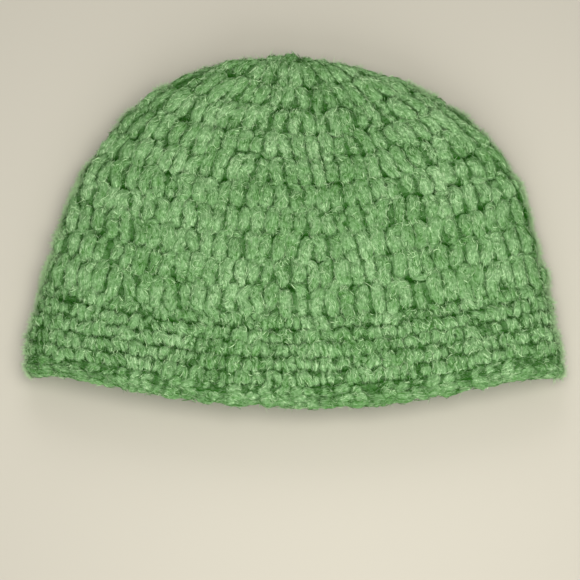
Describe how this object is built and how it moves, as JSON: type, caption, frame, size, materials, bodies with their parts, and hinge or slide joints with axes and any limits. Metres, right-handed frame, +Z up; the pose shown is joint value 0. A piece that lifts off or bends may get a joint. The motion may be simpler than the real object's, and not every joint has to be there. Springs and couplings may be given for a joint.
{
  "type": "crocheted beanie hat",
  "caption": "Soft brimless crocheted cap of chunky fuzzy yarn, worked in closed rounds from the crown down to a plain short-stitch band, lying flat.",
  "frame": {"origin": "centre of the footprint of the flat-laid hat, on the plane that it lies on", "axes": "+X across the brim to the right as seen from above with the crown up the page, +Y towards the crown, -Y out of the mouth, +Z up"},
  "size_m": [0.2686, 0.2026, 0.024],
  "materials": {
    "crown_yarn": "fuzzy chunky wool-blend yarn, tall crochet stitches",
    "band_yarn": "fuzzy chunky wool-blend yarn, short crochet stitches",
    "edging_yarn": "fuzzy chunky wool-blend yarn, edging stitches",
    "yarn_ends": "fuzzy chunky wool-blend yarn, loose end"
  },
  "bodies": {
    "root": {"crown_start_ring": "crown_yarn", "crown_round_01": "crown_yarn", "crown_round_02": "crown_yarn", "crown_round_03": "crown_yarn", "crown_round_04": "crown_yarn", "crown_round_05": "crown_yarn", "crown_round_06": "crown_yarn", "crown_round_07": "crown_yarn", "crown_round_08": "crown_yarn", "crown_round_09": "crown_yarn", "crown_round_10": "crown_yarn", "crown_round_11": "crown_yarn", "band_round_01": "band_yarn", "band_round_02": "band_yarn", "band_round_03": "band_yarn", "band_round_04": "band_yarn", "band_round_05": "band_yarn", "edging_round": "edging_yarn", "start_tail": "yarn_ends", "finish_tail": "yarn_ends"}
  },
  "joints": []
}
